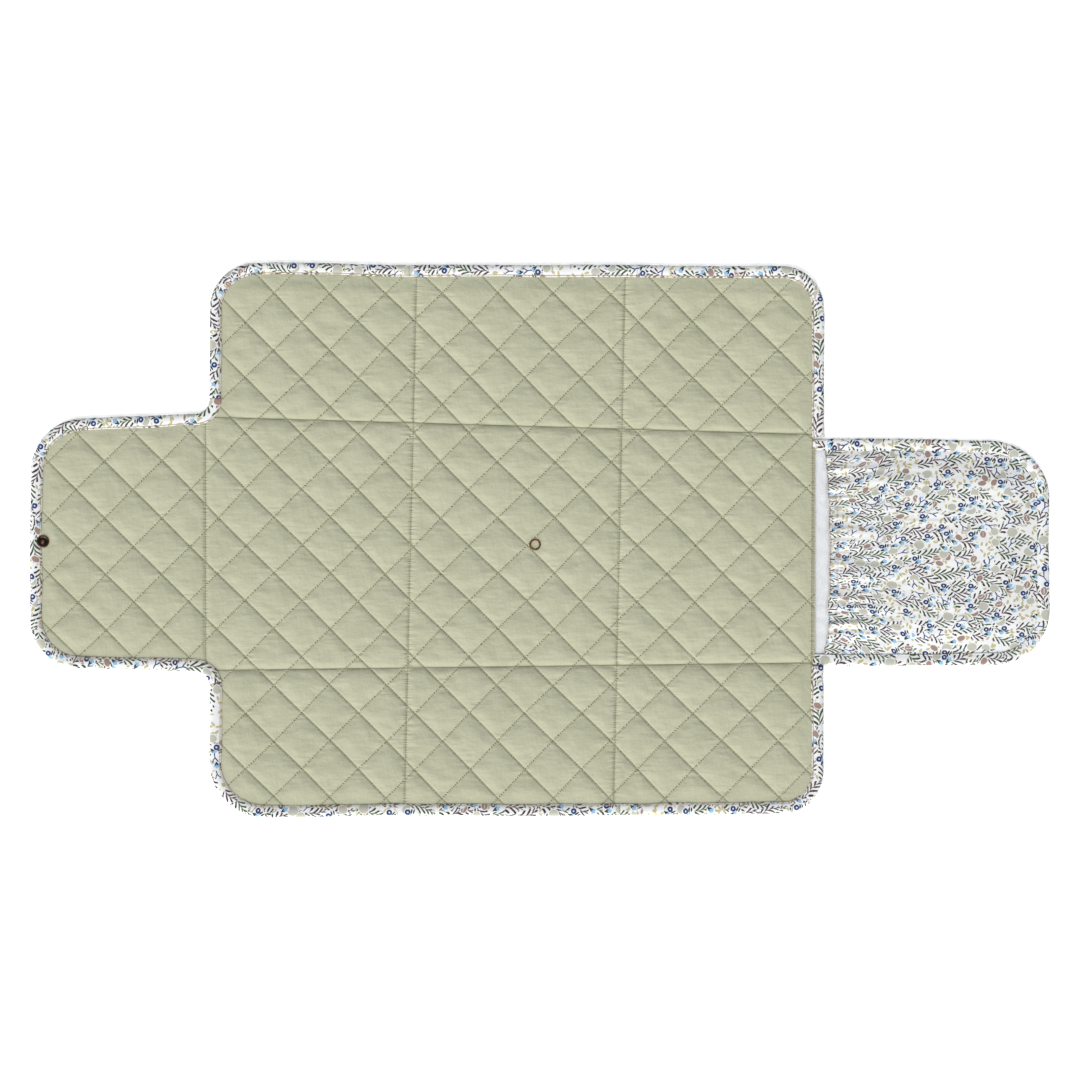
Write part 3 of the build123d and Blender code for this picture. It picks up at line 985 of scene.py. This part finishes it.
# --- bindings ---
def sweep(name, path, arc, profile, thickness, material):
    """A closed tape: the profile carried along a path, with an inner skin one cloth thickness inside."""
    tangent = unit(np.gradient(path, axis=0))
    inward = np.stack([-tangent[:, 1], tangent[:, 0]], 1)
    step = unit(np.gradient(profile, axis=0))
    inner = profile + np.stack([step[:, 1], -step[:, 0]], 1) * -thickness
    ring = np.concatenate([profile, inner[::-1]])
    around = run_length(profile)
    around = np.concatenate([around, around[::-1]])
    n, k = len(path), len(ring)
    s = np.repeat(ring[None, :, 0], n, 0)
    z = np.repeat(ring[None, :, 1], n, 0)
    s, z = binding_swell(s, z, arc[:, None], around[None, :])
    x = path[:, :1] + inward[:, :1] * s
    y = path[:, 1:] + inward[:, 1:] * s
    # the stud is clamped through the edge of the binding and presses it down
    press = 1 - smooth((np.hypot(x - STUD[0], y - STUD[1]) - 5.6) / 4.0)
    z = z - np.maximum(z - STUD_SEAT_Z, 0) * press * 0.9
    co = np.stack([x, y, z], -1).reshape(-1, 3)
    i = np.arange(n - 1)[:, None] * k
    j = np.arange(k)[None, :]
    following = (j + 1) % k
    quads = np.stack([i + j, i + following, i + k + following, i + k + j], -1).reshape(-1, 4)
    a = np.arange(k // 2 - 1)
    cap = np.stack([a, k - 1 - a, k - 2 - a, a + 1], 1)
    faces = [quads, cap, cap[:, ::-1] + (n - 1) * k]
    cloth = np.stack([np.repeat(arc[:, None], k, 1), np.repeat(around[None], n, 0), np.zeros((n, k))], -1)
    return make_object(name, co, faces, [material], cloth=cloth.reshape(-1, 3))


def binding_swell(s, z, arc, around):
    """Soft bulges and puckers along a bound edge."""
    a = np.broadcast_to(arc, s.shape)
    top = smooth((z - 1.2) / 2.5)
    bulge = noise(a, around + 0 * a, 13, 9, 60) * 0.35 + noise(a, around + 0 * a, 5, 8, 70) * 0.16
    inner_edge = smooth((s - 6) / 5)
    pucker = noise(a, 0 * a, 3.1, 9, 80) * 0.16 * inner_edge
    s = s + noise(a, 0 * a, 26, 9, 90) * 0.5 * inner_edge + noise(a, around + 0 * a, 30, 9, 33) * 0.25
    z = z + (bulge + pucker) * top * 0.8
    return s, np.maximum(z, 0.0)


ROOT_Y = {"top": 128.0, "bottom": -129.0}  # where the flap's binding meets the row's
EDGE_Y = {"top": POCKET_TOP, "bottom": POCKET_BOTTOM}
bind_cuts = [(0, c) for c in (LEFT_X, left_turn[0], RIGHT_X, right_turn[1])]
bind_cuts += [(1, c) for c in (*ROOT_Y.values(), *EDGE_Y.values())]
path, arc = resample(pad_path, PATH_STEP, bind_cuts)


def run_of_points(test):
    """The run of outline points for which test holds, in order, ends included."""
    ok = test(path[:, 0], path[:, 1])
    first = np.nonzero(ok & ~np.roll(ok, 1))[0]
    order = np.roll(np.arange(len(path) - 1), -int(first[0] if first[0] < len(path) - 1 else 0))
    return np.array([k for k in order if ok[k]])


def bound(panel, test, ride=None):
    """The binding along one quilted piece, made from the outline points for which test holds."""
    run = run_of_points(test)
    start = arc[run[0]]
    length = (arc[run] - start) % arc[-1]
    node = f"{panel}_binding"
    name = f"{node}_tape" if node in frame["nodes"] else node
    piece = sweep(name, path[run], length + start % PRINT_WRAP, profile, 0.55, BINDING)
    if node in frame["nodes"]:
        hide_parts(node)
    if ride:
        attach(piece, ride)
    else:
        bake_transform(piece)


NEAR = 1e-6
for row, sign in (("top", 1), ("bottom", -1)):
    fold_y, _, turned_y = rows[row]

    def outer_edge(x, y, low, high):
        """Points of the row's long outer edge between two places."""
        return (sign * y > 180) & (x >= low - NEAR) & (x <= high + NEAR)

    for side, (a, b) in turns.items():
        bound(
            f"{row}_{side}_crease", lambda x, y: outer_edge(x, y, min(a, b), max(a, b)),
        )
    bound(f"{row}_center", lambda x, y: outer_edge(x, y, LEFT_X, RIGHT_X), ride=f"{row}_center")
    bound(
        f"{row}_left",
        lambda x, y: (x <= left_turn[0] + NEAR) & (x > FLAP_X - 6) & (sign * (y - ROOT_Y[row]) >= -NEAR),
        ride=f"{row}_left",
    )
    bound(
        f"{row}_right", lambda x, y: (x >= right_turn[1] - NEAR) & (sign * (y - EDGE_Y[row]) >= -NEAR),
    )
bound(
    "flap", lambda x, y: (x < FLAP_X + 20) & (y <= ROOT_Y["top"] + NEAR) & (y >= ROOT_Y["bottom"] - NEAR),
)


# --- pocket ---
MOUTH_X = node_box("pocket_front_cloth")[0][0]
pocket_middle = (POCKET_TOP + POCKET_BOTTOM) / 2
pocket_half = (POCKET_TOP - POCKET_BOTTOM) / 2


def mouth_x(y):
    """The gathered mouth bows back towards the mat near its two ends."""
    share = np.abs(y - pocket_middle) / pocket_half
    return MOUTH_X + 0.3 - 3.6 * share**2 - 5.5 * share**9 + noise(y, y * 0, 14, 9, 17) * 0.7


def gathers(x, y):
    """Height of the gathers: long narrow folds that run in from the mouth and fade."""
    t = x - mouth_x(y)
    sway = y + noise(x, y, 48, 26, 31) * 3.2
    strength = 0.95 * bell(t, 34) + 0.42 * bell(t, 82) + 0.10
    fold = noise(x, sway, 52, 4.3, 3)
    fold = np.sign(fold) * np.abs(fold) ** 0.85
    fine = noise(x, sway, 30, 2.3, 7)
    return strength * (fold * 0.95 + fine * 0.34) + 0.45 * noise(x, y, 26, 17, 55)


def front_z(x, y):
    """Outer height of the pocket's gathered front."""
    d = pocket_edge(x, y)
    t = x - mouth_x(y)
    crown = smooth((d - 7) / 34) ** 0.8
    z = 1.9 + 4.3 * crown * (0.62 + 0.38 * smooth(t / 55))
    z = z + gathers(x, y) * smooth((d - 8) / 14)
    z = z - 0.55 * bell(t - HEM, 0.9) + 0.25 * bell(t - 4, 3.0) - 0.35 * (1 - smooth(t / 1.6))
    return soft_floor(z, 1.85, 0.02)


def front_inner_z(x, y):
    return front_z(x, y) - 0.6


def lining_z(x, y):
    """Soft white lining, fuller in the strip that shows before the mouth."""
    strip = smooth((mouth_x(y) + 1 - x) / 3.5) * smooth((x - POCKET_X + 1.5) / 3.5)
    strip = strip * smooth((pocket_edge(x, y) - 6) / 8)
    return 1.12 + strip * (0.75 + noise(x, y, 5, 7, 61) * 0.22 + noise(x, y, 2.4, 3.2, 67) * 0.10)


def pocket_back_z(x, y):
    return 0.06 + 0.03 * (1 + noise(x, y, 20, 20, 71))


def gathered(x, y):
    """Position in the flat cloth, which is wider than the pocket where the elastic draws it in."""
    t = x - mouth_x(y)
    fullness = 0.16 + 0.42 * bell(t, 55)
    return x, pocket_middle + (y - pocket_middle) * (1 + fullness)


def widen(start_offset, end_offset=None):
    """Shares from 0 to 1 turned into places between the mouth and the far edge."""

    def warp(u, y):
        first = mouth_x(y) + start_offset
        last = PAD_RIGHT + 2 if end_offset is None else mouth_x(y) + end_offset
        return first + (last - first) * u, y

    return warp


pocket_ys = grid_lines(POCKET_BOTTOM - 2, POCKET_TOP + 2, 1.25)
back_xs = grid_lines(POCKET_X, PAD_RIGHT + 2, 2.2)
back_ys = grid_lines(POCKET_BOTTOM - 2, POCKET_TOP + 2, 2.2)


def under_tape(x, y):
    return pocket_edge(x, y) > 3.5


def inside_rim(x, y):
    return pocket_edge(x, y) > 10.0


back = slab_mesh("pocket_back", back_xs, back_ys, under_tape, lining_z, pocket_back_z, [LINING, POCKET_BACK])
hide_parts("pocket_back_cloth", "pocket_lining")
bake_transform(back)

front = slab_mesh(
    "pocket_front", grid_lines(0, 1, 1.4 / 200), pocket_ys, under_tape, front_z, front_inner_z,
    [POCKET, POCKET], warp=widen(0.0), stretch=gathered,
    marks=lambda x, y: (np.stack([x - mouth_x(y), y, 0 * x], 1),),
)
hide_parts("pocket_front_cloth")
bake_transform(front)


def band_top_z(x, y):
    return front_inner_z(x, y) - 0.08


def band_bottom_z(x, y):
    return np.minimum(band_top_z(x, y), np.maximum(front_inner_z(x, y) - 0.9, 1.3)) - 0.02


band = slab_mesh(
    "pocket_elastic_band", np.linspace(0, 1, 7), pocket_ys, inside_rim, band_top_z, band_bottom_z,
    [ELASTIC, ELASTIC], warp=widen(1.4, 7.2),
)
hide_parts("pocket_elastic")
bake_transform(band)

pocket_run = pocket_path[pocket_path[:, 0] > POCKET_X - 6]
tape_path, tape_arc = resample(pocket_run, PATH_STEP, [(0, POCKET_X - 1.5)])
keep_run = tape_path[:, 0] >= POCKET_X - 1.5 - NEAR
pocket_profile = tape_profile(3.2, 0.5)
kept_path, kept_arc = tape_path[keep_run], tape_arc[keep_run] + 311
tape = sweep("pocket_binding_tape", kept_path, kept_arc, pocket_profile, 0.45, POCKET_TAPE)
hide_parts("pocket_binding")
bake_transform(tape)


# --- snap ---
ROUND_STEPS = 72


def lathe(name, points, centre, material, hole=False):
    """A turned piece. points are (radius, height) up its section."""
    section = np.array(points, float)
    n = len(section)
    turn = np.arange(ROUND_STEPS)[:, None]
    angle = turn * 2 * math.pi / ROUND_STEPS
    r, z = section.T
    co = np.stack([centre[0] + r * np.cos(angle), centre[1] + r * np.sin(angle), z + 0 * angle], -1)
    i, j = turn * n, (turn + 1) % ROUND_STEPS * n
    k = np.arange(n if hole else n - 1)
    following = (k + 1) % n
    quads = np.stack([i + k, j + k, j + following, i + following], -1).reshape(-1, 4)
    faces = [quads]
    if not hole:
        faces.append(i.T + n - 1)
        faces.append(i.T[:, ::-1])
    piece = make_object(name, co.reshape(-1, 3), faces, [material])
    piece.data.set_sharp_from_angle(angle=math.radians(50))
    return piece


def rounded(points, radius):
    """A section with its corners eased."""
    out = [points[0]]
    for a, b, c in zip(points[:-2], points[1:-1], points[2:]):
        a, b, c = (np.array(p, float) for p in (a, b, c))
        r = min(radius, np.linalg.norm(a - b) * 0.45, np.linalg.norm(c - b) * 0.45)
        first, last = b + unit(a - b) * r, b + unit(c - b) * r
        for t in np.linspace(0, 1, 5):
            out.append(tuple((1 - t) ** 2 * first + 2 * t * (1 - t) * b + t * t * last))
    return [*out, points[-1]]


stud_section = [
    (0.01, 4.25), (4.4, 4.25), (5.2, 4.4), (5.25, 4.9), (4.7, 5.35), (4.0, 5.1), (3.4, 4.75),
    (2.5, 4.75), (2.05, 5.0), (2.2, 5.55), (1.9, 5.95), (1.1, 6.0), (0.8, 5.8), (0.01, 5.75),
]
collar_section = [
    (5.3, 4.35), (5.75, 4.55), (5.8, 4.85), (5.35, 5.15), (4.95, 5.05), (4.95, 4.5), (5.3, 4.35),
]
nose_section = [(0.01, 5.7), (1.0, 5.75), (1.4, 5.95), (1.0, 6.12), (0.01, 6.16)]
cap_section = [
    (0.01, 0.15), (3.8, 0.1), (5.2, 0.3), (5.95, 0.8), (5.9, 1.25), (4.6, 1.38), (1.5, 1.4),
    (1.45, 4.1), (0.01, 4.15),
]
ring_section = [
    (3.7, 4.3), (5.0, 4.3), (5.25, 4.6), (5.1, 5.15), (4.6, 5.45), (4.0, 5.4), (3.65, 5.05),
    (3.7, 4.3),
]
socket_section = [
    (2.3, 0.15), (3.3, 0.05), (5.2, 0.15), (5.95, 0.5), (5.9, 1.15), (4.8, 1.38), (3.1, 1.4),
    (3.0, 3.9), (2.3, 3.95), (2.3, 0.15),
]
stud = lathe("snap_stud_turned", rounded(stud_section, 0.28), STUD, BLACKENED)
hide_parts("snap_stud")
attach(stud, "closing_flap")
collar = lathe("snap_stud_collar", rounded(collar_section, 0.15), STUD, BRASS, hole=True)
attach(collar, "closing_flap")
# the nose's paler brass colour stands in for the glint on the stud's domed top: a painted highlight
nose = lathe("snap_stud_nose", rounded(nose_section, 0.2), STUD, BRASS)
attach(nose, "closing_flap")
cap = lathe("snap_cap_turned", rounded(cap_section, 0.35), STUD, BRASS)
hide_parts("snap_cap")
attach(cap, "closing_flap")
ring = lathe("snap_ring_turned", rounded(ring_section, 0.3), RING, BRASS, hole=True)
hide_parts("snap_ring")
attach(ring, "middle_center")
socket = lathe("snap_socket_turned", rounded(socket_section, 0.25), RING, BRASS, hole=True)
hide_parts("snap_socket")
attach(socket, "middle_center")

# --- camera, floor and light ---
camera_data = bpy.data.cameras.new("camera")
camera_data.sensor_width = 36
camera_data.lens = 180
camera = add_object("camera", camera_data)
FRAME_WIDTH = 0.972
camera.location = (0.0, 0.0003, FRAME_WIDTH * camera_data.lens / camera_data.sensor_width)
camera_data.clip_end = 30
scene.camera = camera

floor_mesh = bpy.data.meshes.new("floor")
floor_mesh.from_pydata([(-6, -6, 0), (6, -6, 0), (6, 6, 0), (-6, 6, 0)], [], [(0, 1, 2, 3)])
floor = add_object("floor", floor_mesh)
floor.location.z = -0.0002
# the floor glows a little through emission, which lifts the shadows cast on it: painted light
floor_constants = {"Roughness": 0.9, "Specular IOR Level": 0.1, "Emission Strength": 0.42}
floor_constants["Emission Color"] = (1.0, 1.0, 1.0, 1)
floor_material, floor_tree, floor_shader = new_material("studio_floor", floor_constants)
floor_tone = fractal(new_node(floor_tree, "ShaderNodeTexCoord").outputs["Object"], 3.0)
floor_colour = mix(floor_tone, (0.90, 0.90, 0.90, 1), (0.93, 0.93, 0.93, 1))
floor_tree.links.new(floor_colour, floor_shader.inputs["Base Color"])
floor_mesh.materials.append(floor_material)


light_data = bpy.data.lights.new("key", "SUN")
light_data.energy = 3.7
light_data.angle = math.radians(60)
light_data.color = (1.0, 0.98, 0.955)
light = add_object("key", light_data)
light.rotation_euler = (0, math.radians(57), math.radians(-112))  # from the front, 33 degrees up

world = bpy.data.worlds.new("studio")
world.use_nodes = True
world.node_tree.nodes["Background"].inputs[0].default_value = (0.95, 0.975, 1.0, 1)
world.node_tree.nodes["Background"].inputs[1].default_value = 0.5
scene.world = world
scene.view_settings.view_transform = "Standard"
